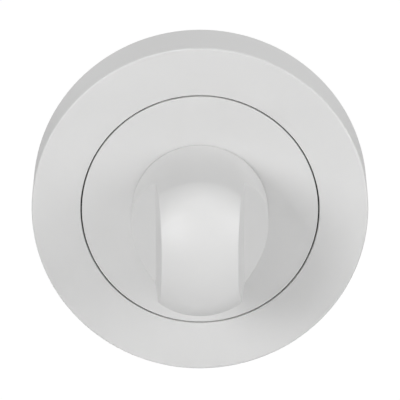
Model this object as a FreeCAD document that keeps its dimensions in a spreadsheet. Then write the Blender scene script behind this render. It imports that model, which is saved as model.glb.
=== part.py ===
import FreeCAD, Part
import math
import os
import re
import Sketcher
from FreeCAD import Placement, Rotation, Vector

# Bathroom thumb turn on a round rose, in millimetres.
# Every body is drawn in one local frame: X to the right, Y up and Z from the door towards
# the room, with Z = 0 on the door's face. FRONT turns that frame so that the front faces -Y.

os.makedirs("parts", exist_ok=True)
doc = FreeCAD.newDocument("thumb_turn_lock")
FRONT = Rotation(Vector(1, 0, 0), 90)

SIZES = {
    # rose cover ring, seen from the room
    "rose_radius": 25.0,
    "rose_depth": 10.0,
    "cover_wall": 1.2,
    "cover_web": 1.4,
    "edge_round": 0.3,
    "edge_break": 0.08,
    "cut_over": 1.0,
    "line_radius": 17.64,
    "line_gap": 0.22,
    "relief_depth": 0.25,
    "relief_length": 1.4,
    # centre disc that carries the turn
    "flange_thick": 2.0,
    "flange_gap": 0.5,
    "hub_depth": 5.4,
    "root_round": 0.8,
    "web_height": 1.0,
    "web_width": 1.2,
    "boss_radius": 2.2,
    "boss_height": 1.2,
    "boss_gap": 0.8,
    # base plate screwed to the door
    "thread_gap": 0.12,
    "base_floor": 2.2,
    "opening_share": 0.552,
    "collar_wall": 0.9,
    "collar_height": 1.2,
    "rim_wall": 1.5,
    "rib_height": 1.0,
    "rib_width": 1.1,
    "peg_radius": 1.6,
    "peg_inset": 4.18,
    "peg_reach": 1.1,
    "peg_gap": 0.08,
    "lug_radius": 3.75,
    "lug_length": 5.0,
    "core_depth": 0.8,
    "core_margin": 1.3,
    "core_turn": 22.0,
    "rib_turn": 22.5,
    "ring_groove_depth": 0.85,
    "ring_cord": 0.95,
    "ring_gap": 0.02,
    # fixings
    "fixing_inset": 4.68,
    "bolt_radius": 2.0,
    "bolt_neck_radius": 1.75,
    "bolt_neck_gap": 0.6,
    "bolt_tip": 0.5,
    "bolt_length": 40.0,
    "bolt_head_radius": 3.5,
    "bolt_head_height": 2.4,
    "bolt_crown": 1.3,
    "bolt_hole_gap": 0.2,
    "head_pocket_gap": 0.25,
    "screw_radius": 1.75,
    "screw_neck_radius": 1.4,
    "screw_neck": 1.2,
    "screw_length": 16.0,
    "screw_head_radius": 3.3,
    "screw_head_rim": 0.2,
    "screw_point": 3.2,
    "screw_hole_gap": 0.25,
    "recess_reach": 1.9,
    "recess_width": 0.9,
    "recess_depth": 1.4,
    "recess_draft": 12.0,
    # knob and its shank
    "knob_gap": 0.15,
    "knob_height": 25.0,
    "knob_root_radius": 10.1,
    "knob_end_radius": 10.2,
    "dome_radius": 14.0,
    "knob_round": 6.0,
    "grip_root_half": 6.38,
    "grip_root_height": 11.0,
    "grip_draft": 3.5,
    "shoulder_slope": 51.0,
    "cutter_radius": 180.0,
    "cheek_round": 0.8,
    "cut_round": 0.3,
    "shank_radius": 5.0,
    "shank_fit": 0.04,
    "shank_flat": 4.3,
    "shank_tail": 3.6,
    "shank_chamfer": 0.4,
    # spindle and its spring pin
    "spindle_side": 5.0,
    "spindle_gap": 0.05,
    "spindle_seat": 9.0,
    "spindle_reach": 55.0,
    "spindle_chamfer": 0.6,
    "pin_radius": 0.75,
    "pin_wall": 0.25,
    "pin_length": 9.6,
    "pin_slot": 0.5,
    "pin_level": 1.8,
    "pin_gap": 0.01,
    # washers and clip on the shank, from the knob to the door
    "thrust_thick": 0.4,
    "thrust_radius": 8.6,
    "thrust_play": 0.05,
    "thrust_rim_gap": 0.15,
    "bush_wall": 1.0,
    "bush_flange_radius": 8.0,
    "bush_flange": 0.8,
    "bush_setback": 0.1,
    "washer_thick": 0.5,
    "washer_radius": 8.0,
    "washer_fit": 0.1,
    "wave_height": 0.8,
    "wave_sheet": 0.25,
    "wave_radius": 7.6,
    "stack_play": 0.04,
    "stop_thick": 1.2,
    "stop_radius": 8.4,
    "stop_lug_gap": 0.6,
    "stop_lug_half": 2.4,
    "clip_thick": 1.0,
    "clip_groove": 0.25,
    "clip_width": 1.5,
    "clip_gap": 0.03,
    "clip_opening": 1.0,
    "clip_ear": 1.3,
    "clip_ear_place": 1.75,
    "clip_hole": 0.6,
    # quarter turn stops
    "turn_range": 90.0,
    "stop_pin_radius": 1.2,
    "stop_pin_seat": 1.6,
    "stop_pin_overhang": 0.3,
    "stop_gap": 0.15,
}

# levels along Z and other places that follow from the sizes above
DERIVED = {
    "cover_bore": "rose_radius - cover_wall",
    "opening_radius": "line_radius + line_gap / 2",
    "disc_radius": "line_radius - line_gap / 2",
    "web_back": "rose_depth - cover_web",
    "flange_back": "web_back - flange_thick",
    "hub_back": "rose_depth - hub_depth",
    "base_radius": "cover_bore - thread_gap",
    "flange_radius": "cover_bore - flange_gap",
    "base_opening": "rose_radius * opening_share",
    "fixing_place": "base_radius - fixing_inset",
    "peg_place": "base_radius - peg_inset",
    "stop_lug_reach": "base_opening - stop_lug_gap",
    "stop_pin_circle": "stop_lug_reach - stop_pin_radius",
    "hub_radius": "stop_pin_circle - boss_radius - boss_gap",
    "bush_bore": "shank_radius + shank_fit",
    "bush_radius": "bush_bore + bush_wall",
    "bolt_hole": "bolt_radius + bolt_hole_gap",
    "screw_hole": "screw_radius + screw_hole_gap",
    "knob_base": "rose_depth + knob_gap",
    "bush_back": "hub_back - bush_flange",
    "washer_back": "bush_back - washer_thick",
    "wave_back": "washer_back - wave_height",
    "stop_front": "wave_back - stack_play",
    "stop_back": "stop_front - stop_thick",
    "clip_back": "stop_back - clip_gap - clip_thick",
    "clip_bore": "shank_radius - clip_groove",
    "stop_half_angle": "asin((stop_lug_half + stop_pin_radius + stop_gap) / stop_pin_circle) / 1 deg",
    "stop_pin_angle": "turn_range / 2 + stop_half_angle",
    "pin_back": "stop_back - stop_pin_overhang",
    "groove_middle": "base_floor / 2",
}

sheet = doc.addObject("Spreadsheet::Sheet", "Sizes")


def fill_sheet():
    """Writes the driving sizes as plain numbers and the levels as formulas."""
    row = 1
    for name, value in SIZES.items():
        sheet.set(f"A{row}", name)
        sheet.set(f"B{row}", str(value))
        sheet.setAlias(f"B{row}", name)
        row += 1
    for name, formula in DERIVED.items():
        sheet.set(f"A{row}", name)
        sheet.set(f"B{row}", "=" + formula)
        sheet.setAlias(f"B{row}", name)
        row += 1
    doc.recompute()


def linked(formula):
    """Puts the sheet's name before each size in a formula."""
    return re.sub(
        r"\b[a-z][a-z_]+\b",
        lambda word: "Sizes." + word[0] if word[0] in SIZES or word[0] in DERIVED else word[0],
        formula,
    )


def number(formula):
    """Works a formula out now, to place geometry and find edges."""
    result = sheet.evalExpression(linked(formula))
    return float(getattr(result, "Value", result))


def new_body(label):
    body = doc.addObject("PartDesign::Body", label)
    body.Label = label
    body.Placement = Placement(Vector(0, 0, 0), FRONT)
    return body


def new_sketch(body, name, role="XY_Plane", level=None):
    """A sketch on one of the body's own origin planes, raised to a level along its normal."""
    plane = next(f for f in body.Origin.OriginFeatures if f.Role == role)
    sketch = body.newObject("Sketcher::SketchObject", name)
    sketch.AttachmentSupport = [(plane, "")]
    sketch.MapMode = "FlatFace"
    if level is not None:
        sketch.setExpression("AttachmentOffset.Base.z", linked(level))
    doc.recompute()
    return sketch


def size(sketch, index, formula):
    sketch.setExpression(f"Constraints[{index}]", linked(formula))


def place_point(sketch, geometry, point, across, up):
    """Ties one point of the sketch to its two distances from the origin."""
    index = sketch.addConstraint(
        Sketcher.Constraint("DistanceX", -1, 1, geometry, point, number(across))
    )
    size(sketch, index, across)
    index = sketch.addConstraint(
        Sketcher.Constraint("DistanceY", -1, 1, geometry, point, number(up))
    )
    size(sketch, index, up)


def draw_outline(sketch, points):
    """A closed outline of straight lines through points given as pairs of formulas."""
    first = sketch.GeometryCount
    places = [Vector(number(across), number(up), 0) for across, up in points]
    count = len(points)
    for i in range(count):
        line = Part.LineSegment(places[i], places[(i + 1) % count])
        sketch.addGeometry(line, False)
    for i in range(count):
        after = first + (i + 1) % count
        sketch.addConstraint(Sketcher.Constraint("Coincident", first + i, 2, after, 1))
    for i, (across, up) in enumerate(points):
        place_point(sketch, first + i, 1, across, up)


def draw_circle(sketch, radius, across="0", up="0"):
    centre = Vector(number(across), number(up), 0)
    circle = sketch.addGeometry(Part.Circle(centre, Vector(0, 0, 1), number(radius)), False)
    index = sketch.addConstraint(Sketcher.Constraint("Radius", circle, number(radius)))
    size(sketch, index, radius)
    place_point(sketch, circle, 3, across, up)


def draw_rectangle(sketch, half_across, half_up):
    draw_outline(
        sketch,
        [
            (f"-({half_across})", f"-({half_up})"),
            (half_across, f"-({half_up})"),
            (half_across, half_up),
            (f"-({half_across})", half_up),
        ],
    )


def draw_double_flat(sketch, radius, half_flat):
    """A round outline with two flats, left and right."""
    reach = math.acos(number(half_flat) / number(radius))
    for start in (reach, math.pi + reach):
        round_part = Part.Circle(Vector(0, 0, 0), Vector(0, 0, 1), number(radius))
        end = start + math.pi - 2 * reach
        sketch.addGeometry(Part.ArcOfCircle(round_part, start, end), False)
    upper, lower = sketch.Geometry[0], sketch.Geometry[1]
    sketch.addGeometry(Part.LineSegment(upper.EndPoint, lower.StartPoint), False)
    sketch.addGeometry(Part.LineSegment(lower.EndPoint, upper.StartPoint), False)
    for join in ((0, 2, 2, 1), (2, 2, 1, 1), (1, 2, 3, 1), (3, 2, 0, 1)):
        sketch.addConstraint(Sketcher.Constraint("Coincident", *join))
    for arc in (0, 1):
        sketch.addConstraint(Sketcher.Constraint("Coincident", arc, 3, -1, 1))
    size(sketch, sketch.addConstraint(Sketcher.Constraint("Radius", 0, number(radius))), radius)
    for line in (2, 3):
        sketch.addConstraint(Sketcher.Constraint("Vertical", line))
    for line, sign in ((2, "-"), (3, "")):
        formula = f"{sign}({half_flat})"
        index = sketch.addConstraint(
            Sketcher.Constraint("DistanceX", -1, 1, line, 1, number(formula))
        )
        size(sketch, index, formula)


def pad(body, name, sketch, length, downwards=False):
    feature = body.newObject("PartDesign::Pad", name)
    feature.Profile = sketch
    feature.setExpression("Length", linked(length))
    feature.Reversed = downwards
    doc.recompute()
    return feature


def pocket(body, name, sketch, length=None, upwards=False, both_ways=False):
    """Cuts down from the sketch, or up, to a length or through everything."""
    before = body.Shape.Volume
    feature = body.newObject("PartDesign::Pocket", name)
    feature.Profile = sketch
    feature.Reversed = upwards
    feature.Midplane = both_ways
    if length is None:
        feature.Type = "ThroughAll"
    else:
        feature.setExpression("Length", linked(length))
    doc.recompute()
    if not body.Shape.Volume < before:
        raise ValueError(f"{name} cuts nothing")
    return feature


def turned(body, name, points, cut=False):
    """A full turn of an outline of radii and heights about the body's Z axis."""
    sketch = new_sketch(body, name + "Profile", "XZ_Plane")
    draw_outline(sketch, points)
    return spin(body, name, sketch, cut)


def spin(body, name, sketch, cut=False):
    feature = body.newObject("PartDesign::Groove" if cut else "PartDesign::Revolution", name)
    feature.Profile = sketch
    feature.ReferenceAxis = (sketch, ["V_Axis"])
    feature.Angle = 360
    doc.recompute()
    return feature


def polar(body, name, feature, copies, degrees="360"):
    """Repeats a feature round the Z axis."""
    pattern = body.newObject("PartDesign::PolarPattern", name)
    pattern.Originals = [feature]
    axis = next(f for f in body.Origin.OriginFeatures if f.Role == "Z_Axis")
    pattern.Axis = (axis, [""])
    pattern.setExpression("Angle", linked(degrees))
    pattern.Occurrences = copies
    body.Tip = pattern
    doc.recompute()
    return pattern


def edges_where(feature, wanted):
    """The names of the edges that pass a test."""
    numbered = enumerate(feature.Shape.Edges, start=1)
    return [f"Edge{i}" for i, edge in numbered if wanted(edge)]


def ring_edges(feature, radius, level):
    """The full circles of a radius at a level, as edge names."""
    wanted_radius, wanted_level = number(radius), number(level)

    def fits(edge):
        curve = edge.Curve
        if not isinstance(curve, Part.Circle) or abs(curve.Radius - wanted_radius) > 1e-4:
            return False
        return abs(curve.Center.z - wanted_level) < 1e-4

    return edges_where(feature, fits)


def dress(body, kind, name, feature, edges, amount):
    """Rounds or chamfers edges by name."""
    if not edges:
        raise ValueError(f"{name} finds no edge")
    dressed = body.newObject("PartDesign::" + kind, name)
    dressed.Base = (feature, edges)
    dressed.setExpression("Radius" if kind == "Fillet" else "Size", linked(amount))
    body.Tip = dressed
    doc.recompute()
    return dressed


def make_rose_cover():
    """Ring that screws over the base plate and clamps the disc by its flange."""
    body = new_body("rose_cover")
    ring = turned(
        body,
        "Ring",
        [
            ("rose_radius", "0"),
            ("rose_radius", "rose_depth"),
            ("opening_radius", "rose_depth"),
            ("opening_radius", "web_back"),
            ("cover_bore + relief_depth", "web_back"),
            ("cover_bore + relief_depth", "web_back - relief_length"),
            ("cover_bore", "web_back - relief_length - relief_depth"),
            ("cover_bore", "0"),
        ],
    )
    front = ring_edges(ring, "rose_radius", "rose_depth")
    rounded = dress(body, "Fillet", "FrontRound", ring, front, "edge_round")
    sharp = ring_edges(rounded, "opening_radius", "rose_depth")
    sharp += ring_edges(rounded, "rose_radius", "0")
    dress(body, "Chamfer", "Breaks", rounded, sharp, "edge_break")


def make_face_disc():
    """Centre disc with a hub for the bush, flush with the cover at the front."""
    body = new_body("face_disc")
    disc = turned(
        body,
        "Disc",
        [
            ("bush_radius", "hub_back"),
            ("hub_radius", "hub_back"),
            ("hub_radius", "flange_back"),
            ("flange_radius", "flange_back"),
            ("flange_radius", "web_back"),
            ("disc_radius", "web_back"),
            ("disc_radius", "rose_depth"),
            ("bush_radius", "rose_depth"),
        ],
    )
    root = ring_edges(disc, "hub_radius", "flange_back")
    rooted = dress(body, "Fillet", "HubRoot", disc, root, "root_round")
    front = ring_edges(rooted, "disc_radius", "rose_depth")
    dress(body, "Chamfer", "FrontBreak", rooted, front, "edge_break")

    web = new_sketch(body, "WebOutline", level="flange_back")
    inner = "hub_radius - root_round / 2"
    outer = "disc_radius - web_width"
    draw_outline(
        web,
        [
            (inner, "-web_width / 2"),
            (outer, "-web_width / 2"),
            (outer, "web_width / 2"),
            (inner, "web_width / 2"),
        ],
    )
    polar(body, "Webs", pad(body, "Web", web, "web_height", downwards=True), 8)

    sides = ("stop_pin_angle", "-stop_pin_angle")
    bosses = new_sketch(body, "BossOutline", level="flange_back")
    for angle in sides:
        draw_circle(
            bosses,
            "boss_radius",
            f"stop_pin_circle * cos({angle})",
            f"stop_pin_circle * sin({angle})",
        )
    pad(body, "Bosses", bosses, "boss_height", downwards=True)
    holes = new_sketch(body, "PinHoleOutline", level="flange_back - boss_height")
    for angle in sides:
        draw_circle(
            holes,
            "stop_pin_radius",
            f"stop_pin_circle * cos({angle})",
            f"stop_pin_circle * sin({angle})",
        )
    pocket(body, "PinHoles", holes, "boss_height + stop_pin_seat", upwards=True)

    sockets = new_sketch(body, "PegSocketOutline", level="flange_back")
    for side in ("peg_place", "-peg_place"):
        draw_circle(sockets, "peg_radius + peg_gap", "0", side)
    pocket(body, "PegSockets", sockets, "peg_reach + peg_gap", upwards=True)


def make_base_plate():
    """Cast plate bolted to the door, with the rim that the cover screws on."""
    body = new_body("base_plate")
    turned(
        body,
        "Plate",
        [
            ("base_opening", "0"),
            ("base_radius", "0"),
            ("base_radius", "flange_back"),
            ("base_radius - rim_wall", "flange_back"),
            ("base_radius - rim_wall", "base_floor"),
            ("base_opening + collar_wall", "base_floor"),
            ("base_opening + collar_wall", "base_floor + collar_height"),
            ("base_opening", "base_floor + collar_height"),
        ],
    )
    rib = new_sketch(body, "RibOutline", level="base_floor")
    start = "base_opening + collar_wall / 2"
    end = "base_radius - rim_wall / 2"
    slant = "rib_turn"
    corners = [(start, "-"), (end, "-"), (end, "+"), (start, "+")]
    draw_outline(
        rib,
        [
            (
                f"({along}) * cos({slant}) - ({side}rib_width / 2) * sin({slant})",
                f"({along}) * sin({slant}) + ({side}rib_width / 2) * cos({slant})",
            )
            for along, side in corners
        ],
    )
    polar(body, "Ribs", pad(body, "Rib", rib, "rib_height"), 8)

    pegs = new_sketch(body, "PegOutline", level="base_floor")
    for side in ("peg_place", "-peg_place"):
        draw_circle(pegs, "peg_radius", "0", side)
    pad(body, "Pegs", pegs, "flange_back - base_floor + peg_reach")

    cores = new_sketch(body, "CoreOutline")
    middle = "(base_opening + base_radius - ring_groove_depth) / 2"
    for side in ("", "-"):
        for twist in ("+", "-"):
            angle = f"{side}(90 {twist} core_turn)"
            draw_circle(
                cores,
                "(base_radius - ring_groove_depth - base_opening) / 2 - core_margin",
                f"({middle}) * cos({angle})",
                f"({middle}) * sin({angle})",
            )
    pocket(body, "Cores", cores, "core_depth", upwards=True)

    lugs = new_sketch(body, "LugOutline")
    for side in ("fixing_place", "-fixing_place"):
        draw_circle(lugs, "lug_radius", side)
    pad(body, "Lugs", lugs, "lug_length", downwards=True)

    clearance = new_sketch(body, "HeadPocketOutline", level="base_floor")
    for side in ("fixing_place", "-fixing_place"):
        draw_circle(clearance, "bolt_head_radius + head_pocket_gap", side)
    pocket(body, "HeadPockets", clearance, "flange_back - base_floor", upwards=True)

    holes = new_sketch(body, "BoltHoleOutline")
    for side in ("fixing_place", "-fixing_place"):
        draw_circle(holes, "bolt_hole", side)
    pocket(body, "BoltHoles", holes, both_ways=True)

    sinks = new_sketch(body, "ScrewHoleOutline", level="base_floor")
    draw_circle(sinks, "screw_hole", "fixing_place * cos(45)", "fixing_place * sin(45)")
    sink = body.newObject("PartDesign::Hole", "ScrewHole")
    sink.Profile = sinks
    doc.recompute()
    sink.DepthType = "ThroughAll"
    sink.setExpression("Diameter", linked("screw_hole * 2"))
    sink.HoleCutType = "Countersink"
    sink.HoleCutCustomValues = True
    sink.setExpression("HoleCutDiameter", linked("(screw_head_radius + screw_hole_gap) * 2"))
    sink.HoleCutCountersinkAngle = 90
    doc.recompute()
    polar(body, "ScrewHoles", sink, 4)

    groove_edge = "base_radius - ring_groove_depth"
    groove = turned(
        body,
        "RingGroove",
        [
            (groove_edge, "groove_middle - ring_cord / 2 - ring_gap"),
            ("base_radius + cut_over", "groove_middle - ring_cord / 2 - ring_gap"),
            ("base_radius + cut_over", "groove_middle + ring_cord / 2 + ring_gap"),
            (groove_edge, "groove_middle + ring_cord / 2 + ring_gap"),
        ],
        cut=True,
    )
    body.Tip = groove


def make_cover_ring():
    """Rubber ring in the plate's groove that keeps the cover from working loose."""
    body = new_body("cover_o_ring")
    sketch = new_sketch(body, "CordSection", "XZ_Plane")
    inner = "base_radius - ring_groove_depth + ring_gap"
    draw_circle(
        sketch,
        f"(cover_bore - ring_gap - ({inner})) / 2",
        f"(cover_bore - ring_gap + ({inner})) / 2",
        "groove_middle",
    )
    spin(body, "Ring", sketch)


def make_recess(body, level):
    """Cross recess for the driver, tapering inwards."""
    cross = new_sketch(body, "RecessOutline", level=level)
    reach, half = "recess_reach", "recess_width / 2"
    quarter = [(reach, half), (half, half), (half, reach)]
    outline = []
    for turn in range(4):
        for across, up in quarter:
            for _ in range(turn):
                across, up = f"-({up})", across
            outline.append((across, up))
    draw_outline(cross, outline)
    recess = pocket(body, "Recess", cross, "recess_depth")
    recess.setExpression("TaperAngle", linked("-recess_draft"))
    doc.recompute()


def make_bolt(label, side):
    """Pan head machine bolt on the plate's floor, with a plain neck inside the lug."""
    body = new_body(label)
    top = "base_floor + bolt_head_height"
    end = "base_floor - bolt_length"
    neck_end = "-lug_length - bolt_neck_gap"
    blank = turned(
        body,
        "Bolt",
        [
            ("0", end),
            ("bolt_radius - bolt_tip", end),
            ("bolt_radius", f"{end} + bolt_tip"),
            ("bolt_radius", neck_end),
            ("bolt_neck_radius", neck_end),
            ("bolt_neck_radius", "base_floor"),
            ("bolt_head_radius", "base_floor"),
            ("bolt_head_radius", top),
            ("0", top),
        ],
    )
    crown = ring_edges(blank, "bolt_head_radius", top)
    dress(body, "Fillet", "Crown", blank, crown, "bolt_crown")
    make_recess(body, top)
    body.setExpression("Placement.Base.x", linked(f"{side}fixing_place"))


def make_wood_screw(label, angle):
    """Countersunk screw, flush with the plate's floor."""
    body = new_body(label)
    end = "base_floor - screw_length"
    rim = "base_floor - screw_head_rim"
    turned(
        body,
        "Screw",
        [
            ("0", end),
            ("screw_radius", f"{end} + screw_point"),
            ("screw_radius", "-screw_neck"),
            ("screw_neck_radius", "-screw_neck"),
            ("screw_neck_radius", f"{rim} - (screw_head_radius - screw_neck_radius)"),
            ("screw_head_radius", rim),
            ("screw_head_radius", "base_floor"),
            ("0", "base_floor"),
        ],
    )
    make_recess(body, "base_floor")
    body.setExpression("Placement.Base.x", linked(f"fixing_place * cos({angle})"))
    body.setExpression("Placement.Base.z", linked(f"fixing_place * sin({angle})"))


def draw_knob_profile(sketch):
    """Knob, shank and clip groove in one outline, with a flat end for the dome to be cut from."""
    recess = "rose_depth + thrust_thick + thrust_play"
    groove_front = "stop_back"
    groove_back = "clip_back - clip_gap"
    draw_outline(
        sketch,
        [
            ("0", "-shank_tail"),
            ("shank_radius - shank_chamfer", "-shank_tail"),
            ("shank_radius", "-shank_tail + shank_chamfer"),
            ("shank_radius", groove_back),
            ("clip_bore", groove_back),
            ("clip_bore", groove_front),
            ("shank_radius", groove_front),
            ("shank_radius", recess),
            ("thrust_radius + thrust_rim_gap", recess),
            ("thrust_radius + thrust_rim_gap", "knob_base"),
            ("knob_root_radius", "knob_base"),
            ("knob_end_radius", "rose_depth + knob_height"),
            ("0", "rose_depth + knob_height"),
        ],
    )


def cut_dome(body):
    """Turns a spherical end about a crosswise axis, so that the dome has no pole on the grip."""
    sketch = new_sketch(body, "DomeOutline", "XZ_Plane")
    level = "rose_depth + knob_height - dome_radius"
    reach = "(knob_end_radius + cut_over)"
    rim = f"{level} + sqrt(dome_radius^2 - {reach}^2)"
    top = f"{level} + dome_radius + knob_end_radius"
    points = [(reach, rim), (reach, top), (f"-{reach}", top), (f"-{reach}", rim)]
    places = [Vector(number(across), number(up), 0) for across, up in points]
    for here, there in zip(places, places[1:]):
        sketch.addGeometry(Part.LineSegment(here, there), False)
    apex = Vector(0, number(f"{level} + dome_radius"), 0)
    dome = sketch.addGeometry(Part.Arc(places[0], apex, places[-1]), False)
    for join in ((0, 2, 1, 1), (1, 2, 2, 1), (2, 2, dome, 2), (dome, 1, 0, 1)):
        sketch.addConstraint(Sketcher.Constraint("Coincident", *join))
    for line in (0, 1, 2):
        place_point(sketch, line, 1, *points[line])
    place_point(sketch, dome, 2, *points[-1])
    index = sketch.addConstraint(Sketcher.Constraint("Radius", dome, number("dome_radius")))
    size(sketch, index, "dome_radius")

    centre = Vector(0, number(level), 0)
    side = Vector(number("dome_radius"), number(level), 0)
    axis = sketch.addGeometry(Part.LineSegment(centre, side), True)
    place_point(sketch, axis, 1, "0", level)
    place_point(sketch, axis, 2, "dome_radius", level)
    cut = body.newObject("PartDesign::Groove", "Dome")
    cut.Profile = sketch
    cut.ReferenceAxis = (sketch, ["Axis0"])
    cut.Angle = 150
    cut.Midplane = True
    doc.recompute()
    return cut


def cut_grip(body):
    """Takes away both sides with a wide cutter, which leaves the waisted grip."""
    sketch = new_sketch(body, "SideCutOutline", "XZ_Plane")
    root = "rose_depth + grip_root_height"
    top = "rose_depth + knob_height + cut_over"
    outer = "(knob_end_radius + cut_over)"
    draw_outline(
        sketch,
        [
            ("grip_root_half", root),
            (outer, f"{root} - ({outer} - grip_root_half) * tan(shoulder_slope)"),
            (outer, top),
            (f"grip_root_half - ({top} - ({root})) * tan(grip_draft)", top),
        ],
    )
    across = "grip_root_half + cutter_radius"
    foot = Vector(number(across), 0, 0)
    head = Vector(number(across), number("rose_depth"), 0)
    axis = sketch.addGeometry(Part.LineSegment(foot, head), True)
    place_point(sketch, axis, 1, across, "0")
    place_point(sketch, axis, 2, across, "rose_depth")
    cut = body.newObject("PartDesign::Groove", "SideCut")
    cut.Profile = sketch
    cut.ReferenceAxis = (sketch, ["Axis0"])
    cut.Angle = 30
    cut.Midplane = True
    doc.recompute()
    mirror = body.newObject("PartDesign::Mirrored", "SideCuts")
    mirror.Originals = [cut]
    plane = next(f for f in body.Origin.OriginFeatures if f.Role == "YZ_Plane")
    mirror.MirrorPlane = (plane, [""])
    body.Tip = mirror
    doc.recompute()
    return mirror


def is_dome_rim(edge):
    """The level ring where the dome meets the knob's wall."""
    box = edge.BoundBox
    is_level = box.ZLength < 1e-3 and box.XLength > number("shank_radius * 3")
    return is_level and box.ZMin > number("rose_depth + knob_height / 2")


def middle_of(edge):
    return edge.valueAt((edge.FirstParameter + edge.LastParameter) / 2)


def make_thumb_turn():
    """Knob and shank in one casting, with the sides cut away for the fingers."""
    body = new_body("thumb_turn")
    sketch = new_sketch(body, "KnobProfile", "XZ_Plane")
    draw_knob_profile(sketch)
    spin(body, "Blank", sketch)
    domed = cut_dome(body)
    dress(body, "Fillet", "EndRound", domed, edges_where(domed, is_dome_rim), "knob_round")
    cuts = cut_grip(body)

    root = number("rose_depth + grip_root_height")
    half = number("grip_root_half")

    def is_cheek_root(rim):
        point = middle_of(rim)
        return abs(point.z - root) < 0.2 and abs(abs(point.x) - half) < 0.2 and abs(point.y) < 1

    rooted = dress(body, "Fillet", "CheekRoot", cuts, edges_where(cuts, is_cheek_root), "cheek_round")

    floor_low = number("rose_depth + grip_root_height / 3")

    def is_cut_rim(rim):
        """Edges where a cut meets the turned skin, above the foot of the knob."""
        if rim.BoundBox.ZMin < floor_low:
            return False
        skins = [f for f in rooted.Shape.Faces if any(rim.isSame(e) for e in f.Edges)]
        return sum(is_turned_skin(face) for face in skins) == 1

    dress(body, "Fillet", "CutRims", rooted, edges_where(rooted, is_cut_rim), "cut_round")

    flats = new_sketch(body, "FlatOutline", level="-shank_tail")
    for side in ("", "-"):
        outer = f"{side}(shank_radius + cut_over)"
        inner = f"{side}shank_flat"
        draw_outline(
            flats,
            [
                (inner, "-shank_radius"),
                (outer, "-shank_radius"),
                (outer, "shank_radius"),
                (inner, "shank_radius"),
            ],
        )
    pocket(body, "Flats", flats, "shank_tail + stop_front", upwards=True)

    socket = new_sketch(body, "SocketOutline", level="-shank_tail")
    half_socket = "spindle_side / 2 + spindle_gap"
    draw_rectangle(socket, half_socket, half_socket)
    pocket(body, "Socket", socket, "shank_tail + spindle_seat + spindle_gap", upwards=True)

    hole = new_sketch(body, "PinHoleOutline", "YZ_Plane")
    draw_circle(hole, "pin_radius + pin_gap", "0", "-pin_level")
    pocket(body, "PinHole", hole, both_ways=True)


def is_turned_skin(face):
    """True for the knob's wall, dome and the round between them, all centred on the axis."""
    surface = face.Surface
    if isinstance(surface, Part.Sphere):
        return True
    if isinstance(surface, Part.BSplineSurface):
        return face.BoundBox.ZMin > number("rose_depth + grip_root_height + cheek_round * 2")
    if isinstance(surface, (Part.Cone, Part.Toroid, Part.Cylinder)):
        centre = surface.Apex if isinstance(surface, Part.Cone) else surface.Center
        return math.hypot(centre.x, centre.y) < 1e-3
    return False


def make_spindle():
    """Square bar from the shank's socket through the lock case."""
    body = new_body("spindle")
    section = new_sketch(body, "BarSection", level="-spindle_reach")
    draw_rectangle(section, "spindle_side / 2", "spindle_side / 2")
    bar = pad(body, "Bar", section, "spindle_reach + spindle_seat")
    ends = (number("spindle_seat"), number("-spindle_reach"))

    def is_end(rim):
        box = rim.BoundBox
        return box.ZLength < 1e-4 and min(abs(box.ZMin - level) for level in ends) < 1e-4

    dress(body, "Chamfer", "Ends", bar, edges_where(bar, is_end), "spindle_chamfer")
    hole = new_sketch(body, "PinHoleOutline", "YZ_Plane")
    draw_circle(hole, "pin_radius + pin_gap", "0", "-pin_level")
    pocket(body, "PinHole", hole, both_ways=True)


def make_spring_pin():
    """Slotted spring pin across the shank and the spindle."""
    body = new_body("spring_pin")
    section = new_sketch(body, "PinSection", "YZ_Plane", level="-pin_length / 2")
    draw_circle(section, "pin_radius", "0", "-pin_level")
    draw_circle(section, "pin_radius - pin_wall", "0", "-pin_level")
    pad(body, "Tube", section, "pin_length")
    slot = new_sketch(body, "SlotOutline", "YZ_Plane")
    draw_outline(
        slot,
        [
            ("-pin_slot / 2", "-pin_level - pin_radius * 2"),
            ("pin_slot / 2", "-pin_level - pin_radius * 2"),
            ("pin_slot / 2", "-pin_level"),
            ("-pin_slot / 2", "-pin_level"),
        ],
    )
    pocket(body, "Slot", slot, both_ways=True)


def make_shank_bush():
    """Nylon bush pressed into the hub from behind."""
    body = new_body("shank_bush")
    front = "rose_depth - bush_setback"
    turned(
        body,
        "Bush",
        [
            ("bush_bore", "bush_back"),
            ("bush_flange_radius", "bush_back"),
            ("bush_flange_radius", "hub_back"),
            ("bush_radius", "hub_back"),
            ("bush_radius", front),
            ("bush_bore", front),
        ],
    )


def make_washer(label, inner, outer, level, thickness):
    body = new_body(label)
    sketch = new_sketch(body, "WasherOutline", level=level)
    draw_circle(sketch, outer)
    draw_circle(sketch, inner)
    pad(body, "Washer", sketch, thickness)


def make_wave_washer():
    """Three-wave spring washer, cut from a waved band between two closed curves."""
    inner = number("shank_radius + washer_fit * 2")
    outer = number("wave_radius")
    sheet_thick = number("wave_sheet")
    swing = (number("wave_height") - sheet_thick) / 2
    middle = number("wave_back") + swing
    steps = 36
    rims = []
    for radius in (inner, outer):
        points = []
        for step in range(steps):
            angle = 2 * math.pi * step / steps
            height = middle + swing * math.cos(3 * angle)
            points.append(Vector(radius * math.cos(angle), radius * math.sin(angle), height))
        curve = Part.BSplineCurve()
        curve.interpolate(Points=points, PeriodicFlag=True)
        rims.append(curve.toShape())
    band = Part.makeRuledSurface(rims[0], rims[1])
    washer = doc.addObject("Part::Feature", "wave_washer")
    washer.Label = "wave_washer"
    washer.Shape = band.extrude(Vector(0, 0, sheet_thick))
    washer.Placement = Placement(Vector(0, 0, 0), FRONT)


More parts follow.
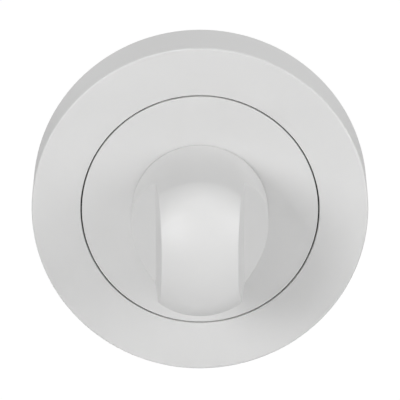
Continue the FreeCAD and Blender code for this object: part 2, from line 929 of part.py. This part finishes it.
def make_stop_washer():
    """Washer driven by the shank's flats, with the lug that meets the stop pins."""
    body = new_body("stop_washer")
    plate = new_sketch(body, "PlateOutline", level="stop_back")
    draw_circle(plate, "stop_radius")
    pad(body, "Plate", plate, "stop_thick")
    lug = new_sketch(body, "LugOutline", level="stop_back")
    rest = "turn_range / 2"
    corners = [("stop_radius / 2", "-"), ("stop_lug_reach", "-")]
    corners += [("stop_lug_reach", "+"), ("stop_radius / 2", "+")]
    draw_outline(
        lug,
        [
            (
                f"({along}) * cos({rest}) - ({side}stop_lug_half) * sin({rest})",
                f"({along}) * sin({rest}) + ({side}stop_lug_half) * cos({rest})",
            )
            for along, side in corners
        ],
    )
    pad(body, "Lug", lug, "stop_thick")
    bore = new_sketch(body, "BoreOutline", level="stop_back")
    draw_double_flat(bore, "shank_radius + washer_fit / 2", "shank_flat + washer_fit / 2")
    pocket(body, "Bore", bore, "stop_thick", upwards=True)


def make_stop_pin(label, side):
    """Steel pin pressed into the disc, where the lug comes to rest."""
    body = new_body(label)
    sketch = new_sketch(body, "PinSection", level="pin_back")
    draw_circle(sketch, "stop_pin_radius")
    pin = pad(body, "Pin", sketch, "flange_back + stop_pin_seat - pin_back")
    tail = ring_edges(pin, "stop_pin_radius", "pin_back")
    dress(body, "Chamfer", "Tail", pin, tail, "edge_round")
    angle = f"{side}stop_pin_angle"
    body.setExpression("Placement.Base.x", linked(f"stop_pin_circle * cos({angle})"))
    body.setExpression("Placement.Base.z", linked(f"stop_pin_circle * sin({angle})"))


def make_circlip():
    """External ring in the shank's groove, with two eared ends."""
    body = new_body("circlip")
    ring = new_sketch(body, "RingOutline", level="clip_back")
    draw_circle(ring, "clip_bore + clip_width")
    draw_circle(ring, "clip_bore + clip_gap")
    pad(body, "Ring", ring, "clip_thick")
    ear_across = "clip_ear_place"
    ear_up = "-(clip_bore + clip_width + clip_ear / 3)"
    ears = new_sketch(body, "EarOutline", level="clip_back")
    for side in ("", "-"):
        draw_circle(ears, "clip_ear", f"{side}({ear_across})", ear_up)
    pad(body, "Ears", ears, "clip_thick")
    gap = new_sketch(body, "GapOutline", level="clip_back")
    low = "-(clip_bore + clip_width + clip_ear * 2)"
    draw_outline(
        gap,
        [
            ("-clip_opening / 2", low),
            ("clip_opening / 2", low),
            ("clip_opening / 2", "-clip_bore / 2"),
            ("-clip_opening / 2", "-clip_bore / 2"),
        ],
    )
    pocket(body, "Gap", gap, "clip_thick", upwards=True)
    holes = new_sketch(body, "EarHoleOutline", level="clip_back")
    for side in ("", "-"):
        draw_circle(holes, "clip_hole", f"{side}({ear_across})", ear_up)
    pocket(body, "EarHoles", holes, "clip_thick", upwards=True)


def write_parts():
    """Checks every object, then writes each labelled sub-part to its own file."""
    doc.recompute()
    for item in doc.Objects:
        if "Invalid" in item.State or "Error" in item.State:
            raise ValueError(f"{item.Label} is {item.State}")
    for item in doc.Objects:
        is_piece = item.TypeId == "PartDesign::Body" or item.Label == "wave_washer"
        if not is_piece:
            continue
        if item.Shape.isNull() or not item.Shape.isValid() or not item.Shape.Solids:
            raise ValueError(f"{item.Label} has no valid solid")
        item.Shape.exportStep(f"parts/{item.Label}.step")
        print(item.Label, len(item.Shape.Solids), "solid", round(item.Shape.Volume, 2), "mm3")


fill_sheet()
make_rose_cover()
make_face_disc()
make_base_plate()
make_cover_ring()
for label, side in (("bolt_left", "-"), ("bolt_right", "")):
    make_bolt(label, side)
for count in range(4):
    make_wood_screw(f"wood_screw_{count + 1}", 45 + 90 * count)
make_thumb_turn()
make_spindle()
make_spring_pin()
make_shank_bush()
make_washer("thrust_washer", "bush_bore + washer_fit", "thrust_radius", "rose_depth", "thrust_thick")
make_washer("plain_washer", "bush_bore + washer_fit", "washer_radius", "washer_back", "washer_thick")
make_wave_washer()
make_stop_washer()
for label, side in (("stop_pin_upper", ""), ("stop_pin_lower", "-")):
    make_stop_pin(label, side)
make_circlip()
write_parts()
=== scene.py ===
import math
import bmesh
import bpy
from mathutils import Matrix, Vector


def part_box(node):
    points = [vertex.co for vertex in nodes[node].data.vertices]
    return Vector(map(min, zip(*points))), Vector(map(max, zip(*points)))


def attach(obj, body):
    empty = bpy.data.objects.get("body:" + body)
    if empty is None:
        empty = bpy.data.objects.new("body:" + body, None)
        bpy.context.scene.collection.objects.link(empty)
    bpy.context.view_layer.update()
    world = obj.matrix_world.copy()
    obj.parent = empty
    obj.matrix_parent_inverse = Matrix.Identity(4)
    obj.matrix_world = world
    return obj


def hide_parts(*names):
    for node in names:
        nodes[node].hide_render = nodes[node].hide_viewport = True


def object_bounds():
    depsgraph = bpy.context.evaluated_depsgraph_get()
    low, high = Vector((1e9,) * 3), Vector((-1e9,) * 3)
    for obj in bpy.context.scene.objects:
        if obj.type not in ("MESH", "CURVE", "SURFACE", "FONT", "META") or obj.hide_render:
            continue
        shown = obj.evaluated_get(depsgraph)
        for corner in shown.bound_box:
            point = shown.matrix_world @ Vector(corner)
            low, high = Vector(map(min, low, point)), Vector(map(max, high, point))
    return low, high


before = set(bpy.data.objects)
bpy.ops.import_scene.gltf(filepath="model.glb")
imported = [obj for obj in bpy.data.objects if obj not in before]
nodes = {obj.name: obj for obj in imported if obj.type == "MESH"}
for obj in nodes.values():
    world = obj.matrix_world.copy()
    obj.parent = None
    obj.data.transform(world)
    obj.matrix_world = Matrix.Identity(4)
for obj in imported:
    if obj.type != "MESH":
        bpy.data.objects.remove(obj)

cadLow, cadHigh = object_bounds()
mm = 0.001
middle = 0.5  # what a noise pattern gives on average
white = (1, 1, 1, 1)
print("frame loaded:", len(nodes), "nodes")


def addObject(name, data):
    thing = bpy.data.objects.new(name, data)
    bpy.context.scene.collection.objects.link(thing)
    return thing


# Wraps a socket, so that shader maths is written as plain sums and products.
class Value:
    def __init__(self, shader, socket):
        self.shader = shader
        self.socket = socket

    def combine(self, operation, first, second):
        return self.shader.add("ShaderNodeMath", {"operation": operation}, {0: first, 1: second})

    def __add__(self, other):
        return self.combine("ADD", self, other)

    def __radd__(self, other):
        return self.combine("ADD", other, self)

    def __sub__(self, other):
        return self.combine("SUBTRACT", self, other)

    def __rsub__(self, other):
        return self.combine("SUBTRACT", other, self)

    def __mul__(self, other):
        return self.combine("MULTIPLY", self, other)

    def __rmul__(self, other):
        return self.combine("MULTIPLY", other, self)


# The nodes of a material or of the world. add() makes every one of them.
class Shader:
    def __init__(self, owner):
        owner.use_nodes = True
        self.owner = owner
        self.tree = owner.node_tree
        self.tree.nodes.clear()

    def add(self, kind, settings=None, inputs=None, out=0):
        node = self.tree.nodes.new(kind)
        for key, value in (settings or {}).items():
            setattr(node, key, value)
        for key, value in (inputs or {}).items():
            if isinstance(value, Value):
                self.tree.links.new(value.socket, node.inputs[key])
            else:
                node.inputs[key].default_value = value
        if len(node.outputs):
            return Value(self, node.outputs[out])

    def objectPoint(self):
        return self.add("ShaderNodeTexCoord", out="Object")

    def noise(self, size, detail, stretch=(1, 1, 1), roughness=0.55):
        # size is that of the grain in metres; stretch draws it out along an axis
        scale = [1 / (size * along) for along in stretch]
        spread = self.add("ShaderNodeMapping", {}, {"Vector": self.objectPoint(), "Scale": scale})
        inputs = {"Vector": spread, "Scale": 1.0, "Detail": detail, "Roughness": roughness}
        return self.add("ShaderNodeTexNoise", {}, inputs)

    def tint(self, factor, first, second):
        # the Mix node's colour sockets go by number: 0 is the factor, 6 and 7 the colours, 2 the result
        first, second = [end if isinstance(end, Value) else (*end, 1) for end in (first, second)]
        return self.add("ShaderNodeMix", {"data_type": "RGBA"}, {0: factor, 6: first, 7: second}, out=2)

    def rise(self, value, low, high):
        # 0 below low, 1 above high
        return self.add("ShaderNodeMapRange", {}, {"Value": value, "From Min": low, "From Max": high})

    def bump(self, height, depth):
        return self.add("ShaderNodeBump", {}, {"Height": height, "Distance": depth})

    def output(self, kind, surface):
        self.add(kind, {}, {"Surface": surface})
        return self.owner

    def finish(self, inputs):
        return self.output("ShaderNodeOutputMaterial", self.add("ShaderNodeBsdfPrincipled", {}, inputs))


# the fine joint between cover and disc: painted light at its mouth, painted shade, nearly black,
# further in
ringLine = {
    # painted light near the joint's mouth, then painted shade deeper in
    "paintedMouthLight": (0.93, 0.93, 0.92),
    "paintedGapShade": (0.02, 0.02, 0.02),
    "radius": 17.64 * mm,
    "reach": 0.25 * mm,  # either side of the radius
    "mouthFrom": 0.1 * mm,  # this and the next three are depths behind the rose's front
    "gapShadeFrom": 0.58 * mm,
    "gapShadeFull": 0.78 * mm,
    "gapShadeEnd": 1.5 * mm,
    "blend": 0.05 * mm,
}


def ringLineMasks(shader):
    # 1 where the joint's walls take painted light, from near the mouth inwards, and 1 on the stretch
    # further in that takes painted shade
    point = shader.objectPoint()
    flat = shader.add("ShaderNodeVectorMath", {"operation": "MULTIPLY"}, {0: point, 1: (1, 0, 1)})
    radius = shader.add("ShaderNodeVectorMath", {"operation": "LENGTH"}, {0: flat}, out="Value")
    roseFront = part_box("rose_cover")[0].y
    depth = shader.add("ShaderNodeSeparateXYZ", {}, {0: point}, out="Y") - roseFront
    low = ringLine["radius"] - ringLine["reach"]
    high = ringLine["radius"] + ringLine["reach"]
    blend = ringLine["blend"]
    band = shader.rise(radius, low, low + blend) - shader.rise(radius, high - blend, high)
    paintedMouthLight = shader.rise(depth, ringLine["mouthFrom"], ringLine["mouthFrom"] + blend)
    deep = shader.rise(depth, ringLine["gapShadeFrom"], ringLine["gapShadeFull"])
    beyond = shader.rise(depth, ringLine["gapShadeEnd"], ringLine["gapShadeEnd"] + blend)
    return band * paintedMouthLight, band * (deep - beyond)


satin = {
    "light": (0.726, 0.726, 0.7235),
    "dark": (0.696, 0.695, 0.691),
    "metal": 0.0,
    "shine": 0.75,
    "roughness": 0.48,
    "grain": 0.09 * mm,
    "grainDepth": 0.0008 * mm,
    "grainRough": 0.1,  # how far the grain moves the roughness
    "cloud": 4.0 * mm,
    "cloudRough": 0.08,
    "cloudShare": 0.7,  # of the colour; the rest is the grain's
}


def satinPlate():
    # bead-blasted and plated: fine even grain, faint clouds of sheen, no brush lines
    shader = Shader(bpy.data.materials.new("satinPlate"))
    grain = shader.noise(satin["grain"], detail=2.0)
    cloud = shader.noise(satin["cloud"], detail=3.0)
    paintedMouthLight, paintedGapShade = ringLineMasks(shader)
    mottle = cloud * satin["cloudShare"] + grain * (1 - satin["cloudShare"])
    plated = shader.tint(mottle, satin["dark"], satin["light"])
    # the joint's walls: painted light near the mouth, then painted shade further in, over the plate's
    # colour
    lined = shader.tint(paintedMouthLight, plated, ringLine["paintedMouthLight"])
    waver = (cloud - middle) * satin["cloudRough"] + (grain - middle) * satin["grainRough"]
    return shader.finish({
        "Base Color": shader.tint(paintedGapShade, lined, ringLine["paintedGapShade"]),
        "Metallic": satin["metal"],
        "Specular IOR Level": satin["shine"],
        "Roughness": satin["roughness"] + waver,
        "Normal": shader.bump(grain, satin["grainDepth"]),
    })


cast = {
    "light": (0.50, 0.50, 0.49),
    "dark": (0.36, 0.36, 0.36),
    "metal": 0.85,
    "roughness": 0.46,
    "skin": 0.35 * mm,
    "skinDepth": 0.012 * mm,
    "flow": 6.0 * mm,
    "flowRough": 0.16,
    "flowShare": 0.65,  # of the colour; the rest is the skin's
}


def castZinc():
    # die-cast skin: small pits, and slow clouds where the metal flowed
    shader = Shader(bpy.data.materials.new("castZinc"))
    skin = shader.noise(cast["skin"], detail=5.0)
    flow = shader.noise(cast["flow"], detail=4.0)
    mottle = flow * cast["flowShare"] + skin * (1 - cast["flowShare"])
    return shader.finish({
        "Base Color": shader.tint(mottle, cast["dark"], cast["light"]),
        "Metallic": cast["metal"],
        "Roughness": cast["roughness"] + flow * cast["flowRough"],
        "Normal": shader.bump(skin, cast["skinDepth"]),
    })


plate = {
    "light": (0.50, 0.51, 0.505),
    "dark": (0.35, 0.36, 0.37),
    "metal": 1.0,
    "patch": 2.2 * mm,
    "patchRough": 0.12,
    "patchShare": 0.6,  # of the colour; the rest is the scratches'
    "scratch": 0.12 * mm,
    "scratchDepth": 0.0015 * mm,
    "scratchRough": 0.08,
    # how far the scratches are drawn out along X, Y and Z, and how dull the finish is
    "turned": {"stretch": (1, 1, 1), "roughness": 0.3},
    "drawn": {"stretch": (1, 60, 1), "roughness": 0.46},
}


def zincPlate(name, work):
    # bright zinc over turned or drawn steel
    shader = Shader(bpy.data.materials.new(name))
    patch = shader.noise(plate["patch"], detail=4.0)
    scratch = shader.noise(plate["scratch"], detail=3.0, stretch=work["stretch"])
    mottle = patch * plate["patchShare"] + scratch * (1 - plate["patchShare"])
    return shader.finish({
        "Base Color": shader.tint(mottle, plate["dark"], plate["light"]),
        "Metallic": plate["metal"],
        "Roughness": work["roughness"] + patch * plate["patchRough"] + scratch * plate["scratchRough"],
        "Normal": shader.bump(scratch, plate["scratchDepth"]),
    })


spring = {
    "light": (0.30, 0.29, 0.28),
    "dark": (0.10, 0.10, 0.105),
    "metal": 0.95,
    "roughness": 0.48,
    "rub": 0.9 * mm,
    "rubDepth": 0.002 * mm,
    "rubShine": 0.16,  # how much smoother it is where it is rubbed
}


def springSteel():
    # oil-blackened, rubbed a little brighter in places
    shader = Shader(bpy.data.materials.new("springSteel"))
    rub = shader.noise(spring["rub"], detail=4.0)
    return shader.finish({
        "Base Color": shader.tint(rub * rub, spring["dark"], spring["light"]),
        "Metallic": spring["metal"],
        "Roughness": spring["roughness"] - rub * spring["rubShine"],
        "Normal": shader.bump(rub, spring["rubDepth"]),
    })


nylon = {
    "light": (0.80, 0.79, 0.74),
    "dark": (0.74, 0.72, 0.66),
    "roughness": 0.42,
    "skin": 0.25 * mm,
    "skinDepth": 0.003 * mm,
    "skinRough": 0.14,
    "cloud": 3.0 * mm,
}


def mouldedNylon():
    # natural nylon: a faint moulded skin, a little yellower in places
    shader = Shader(bpy.data.materials.new("mouldedNylon"))
    skin = shader.noise(nylon["skin"], detail=3.0)
    cloud = shader.noise(nylon["cloud"], detail=2.0)
    return shader.finish({
        "Base Color": shader.tint(cloud, nylon["dark"], nylon["light"]),
        "Roughness": nylon["roughness"] + skin * nylon["skinRough"],
        "Normal": shader.bump(skin, nylon["skinDepth"]),
    })


rubber = {
    "light": (0.035, 0.035, 0.034),
    "dark": (0.018, 0.018, 0.018),
    "roughness": 0.62,
    "skin": 0.15 * mm,
    "skinDepth": 0.002 * mm,
    "skinRough": 0.16,
}


def nitrileRubber():
    shader = Shader(bpy.data.materials.new("nitrileRubber"))
    skin = shader.noise(rubber["skin"], detail=3.0)
    return shader.finish({
        "Base Color": shader.tint(skin, rubber["dark"], rubber["light"]),
        "Roughness": rubber["roughness"] + skin * rubber["skinRough"],
        "Normal": shader.bump(skin, rubber["skinDepth"]),
    })


def paint(material, *names):
    for name in names:
        for place in nodes[name].material_slots:
            place.material = material


turnedPlate = zincPlate("zincPlateTurned", plate["turned"])
drawnPlate = zincPlate("zincPlateDrawn", plate["drawn"])
paint(satinPlate(), "rose_cover", "face_disc", "thumb_turn")
paint(castZinc(), "base_plate")
paint(turnedPlate, "plain_washer", "stop_washer")
paint(drawnPlate, "spindle")
paint(springSteel(), "spring_pin", "wave_washer", "stop_pin_upper", "stop_pin_lower", "circlip")
paint(mouldedNylon(), "shank_bush", "thrust_washer")
paint(nitrileRubber(), "cover_o_ring")
print("finishes painted")


# A thread is made about its own Z, which points out of the door. Its levels are heights along
# that axis from the door's face, and its outline gives a share of the depth and of the pitch.
toFront = Matrix.Rotation(math.radians(90), 4, "X")  # turns Z to -Y, out of the door
threadMesh = {
    "steps": 30,  # round one turn
    "weld": 0.005,  # share of the pitch within which points of the thread are one
    "neckGap": 0.02 * mm,  # keeps the head's closed cut off the thread's
    "sharpAngle": 32,  # degrees past which an edge stays sharp
    "nearPlane": 1e-9,  # metres within which a point is on the cutting plane
    "nearPoint": 1e-7,  # metres within which points of the head are one, or on a level
}
bolt = {
    "pitch": 0.7 * mm,
    "crest": 2.0 * mm,
    "root": 1.57 * mm,
    "outline": [(0, 0), (0, 0.10), (1, 0.45), (1, 0.55), (0, 0.90), (0, 1)],
    "start": -5.6 * mm,
    "runIn": 0.5 * mm,  # length over which the thread grows out of the neck
    "tip": 0.6 * mm,  # bevel at the end
}
woodScrew = {
    "pitch": 1.55 * mm,
    "crest": 1.75 * mm,
    "root": 1.12 * mm,
    "outline": [(0, 0), (0, 0.5), (0.9, 0.73), (1, 0.76), (0.9, 0.79), (0, 0.94), (0, 1)],
    "start": -1.2 * mm,
    "runIn": 1.2 * mm,
    "point": 4.2 * mm,  # length of the pointed end
    "blunt": 0.03,  # share of the width left at the very point
}


def cutFlat(bm, level, side):
    # keeps what lies below the level for side 1, above it for side -1, and closes the cut
    bmesh.ops.bisect_plane(
        bm, geom=bm.verts[:] + bm.edges[:] + bm.faces[:], dist=threadMesh["nearPlane"],
        plane_co=(0, 0, level), plane_no=(0, 0, side), clear_outer=True,
    )
    onLevel = {v for v in bm.verts if abs(v.co.z - level) < threadMesh["nearPoint"]}
    rim = [e for e in bm.edges if e.is_boundary and onLevel.issuperset(e.verts)]
    bmesh.ops.holes_fill(bm, edges=rim, sides=0)


def sweepThread(form, end):
    # one pitch of the thread's outline, spun down the shank from above its start
    bm = bmesh.new()
    depth = form["crest"] - form["root"]
    top = form["start"] + form["pitch"]
    turns = math.ceil((top - end) / form["pitch"]) + 1
    spots = [
        bm.verts.new((form["root"] + depth * out, 0, top - form["pitch"] * along))
        for out, along in form["outline"]
    ]
    for upper, lower in zip(spots, spots[1:]):
        bm.edges.new((upper, lower))
    bmesh.ops.spin(
        bm, geom=bm.verts[:] + bm.edges[:], cent=(0, 0, 0), axis=(0, 0, 1),
        dvec=(0, 0, -form["pitch"] / threadMesh["steps"]), angle=2 * math.pi * turns,
        steps=threadMesh["steps"] * turns, use_merge=False, use_duplicate=False,
    )
    bmesh.ops.remove_doubles(bm, verts=bm.verts[:], dist=form["pitch"] * threadMesh["weld"])
    cutFlat(bm, form["start"], 1)
    cutFlat(bm, end, -1)
    return bm


def limitRadius(bm, allowed):
    # draws in every point that stands further out than allowed at its level
    for v in bm.verts:
        out = math.hypot(v.co.x, v.co.y)
        most = allowed(v.co.z)
        if out > most:
            v.co.x *= most / out
            v.co.y *= most / out


def growThread(bm, form):
    depth = form["crest"] - form["root"]
    limitRadius(bm, lambda z: form["root"] + (form["start"] - z) * depth / form["runIn"])


def shapeBolt(bm, end):
    growThread(bm, bolt)
    limitRadius(bm, lambda z: bolt["crest"] - bolt["tip"] + (z - end))


def shapeWoodScrew(bm, end):
    growThread(bm, woodScrew)
    for v in bm.verts:
        share = min(1.0, (v.co.z - end) / woodScrew["point"])
        shrink = max(woodScrew["blunt"], math.sin(share * math.pi / 2))
        v.co.x *= shrink
        v.co.y *= shrink


def keepHead(node, seat, start):
    # the node's own head and neck, without the plain shank that stands for the thread
    bm = bmesh.new()
    bm.from_mesh(nodes[node].data)
    bmesh.ops.remove_doubles(bm, verts=bm.verts[:], dist=threadMesh["nearPoint"])
    bmesh.ops.transform(bm, verts=bm.verts[:], matrix=seat.inverted())
    cutFlat(bm, start + threadMesh["neckGap"], -1)
    return bm


def shadeSmooth(bm, degrees):
    bm.normal_update()
    for face in bm.faces:
        face.smooth = True
    for edge in bm.edges:
        edge.smooth = len(edge.link_faces) == 2 and edge.calc_face_angle() < math.radians(degrees)


def fixing(node, form, shape):
    low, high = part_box(node)
    end = -high.y
    seat = Matrix.Translation(((low.x + high.x) / 2, 0, (low.z + high.z) / 2)) @ toFront
    thread = sweepThread(form, end)
    shape(thread, end)
    mesh = bpy.data.meshes.new(node + "_threaded")
    thread.to_mesh(mesh)
    thread.free()
    bm = keepHead(node, seat, form["start"])
    bm.from_mesh(mesh)
    bmesh.ops.recalc_face_normals(bm, faces=bm.faces[:])
    shadeSmooth(bm, threadMesh["sharpAngle"])
    bmesh.ops.transform(bm, verts=bm.verts[:], matrix=seat)
    bm.to_mesh(mesh)
    bm.free()
    mesh.materials.append(turnedPlate)
    piece = addObject(node + "_threaded", mesh)
    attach(piece, "rose")
    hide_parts(node)


for side in ("left", "right"):
    fixing("bolt_" + side, bolt, shapeBolt)
for count in range(1, 5):
    fixing("wood_screw_" + str(count), woodScrew, shapeWoodScrew)
print("threads cut on bolts and wood screws")


studio = {
    "floorDrop": 0.22,
    "floorSize": 8.0,
    "floorColour": (0.9, 0.9, 0.9, 1),
    "floorGlow": 1.08,  # what the camera sees of the floor, apart from its shading
    "floorShade": 0.1,  # how much of its shading, shadows too, is seen
    "skyLight": 0.28,  # what the white surround gives as light
    "skyShine": 1.0,  # in reflections
    "skySeen": 1.0,  # and to the camera
    "lampDistance": 1.1,
    # each lamp: degrees to the right, degrees up, size, power
    "lamps": {
        "keyLamp": (-34, 19.5, 0.42, 4.6),
        "fillLamp": (55, 21, 0.82, 4.6),
        "topLamp": (0, 75, 0.9, 2.4),
        "leftRimLamp": (-130, 5, 1.5, 0.95),
        "rightRimLamp": (138, 5, 1.5, 0.7),
    },
}
# the photo looks down on the front by about 18 degrees, through a long lens
photoView = {
    "elevation": 17.7,
    "distance": 0.8,
    "sensor": 36,  # millimetres, as the lens
    "lens": 487,
    "aimShare": 0.36,  # of the part's reach in front of the door
    "aimHeight": 2.4 * mm,
    "farthest": 30,
}


def buildFloor():
    bm = bmesh.new()
    bmesh.ops.create_grid(bm, x_segments=1, y_segments=1, size=studio["floorSize"])
    bmesh.ops.translate(bm, verts=bm.verts[:], vec=(0, 0, cadLow.z - studio["floorDrop"]))
    mesh = bpy.data.meshes.new("studioFloor")
    bm.to_mesh(mesh)
    bm.free()
    floor = addObject("studioFloor", mesh)
    shader = Shader(bpy.data.materials.new("studioFloor"))
    seen = shader.add("ShaderNodeLightPath", out="Is Camera Ray")
    lit = shader.add("ShaderNodeBsdfDiffuse", {}, {"Color": studio["floorColour"]})
    glow = shader.add("ShaderNodeEmission", {}, {"Color": white, "Strength": studio["floorGlow"]})
    halves = {0: seen * (1 - studio["floorShade"]), 1: lit, 2: glow}
    surface = shader.add("ShaderNodeMixShader", {}, halves)
    mesh.materials.append(shader.output("ShaderNodeOutputMaterial", surface))


def buildSky():
    shader = Shader(bpy.data.worlds.new("studioSky"))
    surface = shader.add("ShaderNodeBackground", {}, {"Color": white, "Strength": studio["skyLight"]})
    for ray, level in (("Is Glossy Ray", studio["skyShine"]), ("Is Camera Ray", studio["skySeen"])):
        seen = shader.add("ShaderNodeLightPath", out=ray)
        glow = shader.add("ShaderNodeBackground", {}, {"Color": white, "Strength": level})
        surface = shader.add("ShaderNodeMixShader", {}, {0: seen, 1: surface, 2: glow})
    bpy.context.scene.world = shader.output("ShaderNodeOutputWorld", surface)


def lookAt(thing, aim, azimuth, elevation, distance):
    # stands a lamp or camera off from the point that it looks at
    right = math.radians(azimuth)
    up = math.radians(elevation)
    way = Vector((math.sin(right) * math.cos(up), -math.cos(right) * math.cos(up), math.sin(up)))
    thing.location = aim + way * distance
    thing.rotation_euler = way.to_track_quat("Z", "Y").to_euler()


def placeLamps():
    for name, (azimuth, elevation, size, power) in studio["lamps"].items():
        light = bpy.data.lights.new(name, "AREA")
        light.shape = "DISK"
        light.size = size
        light.energy = power
        lookAt(addObject(name, light), Vector((0, 0, 0)), azimuth, elevation, studio["lampDistance"])


def placeCamera():
    camera = bpy.data.cameras.new("photoCamera")
    camera.sensor_width = photoView["sensor"]
    camera.lens = photoView["lens"]
    camera.clip_end = photoView["farthest"]
    eye = addObject("photoCamera", camera)
    aim = Vector((0, cadLow.y * photoView["aimShare"], photoView["aimHeight"]))
    lookAt(eye, aim, 0, photoView["elevation"], photoView["distance"])
    bpy.context.scene.camera = eye


buildFloor()
buildSky()
placeLamps()
placeCamera()
bpy.context.scene.view_settings.view_transform = "Standard"
print("studio ready")
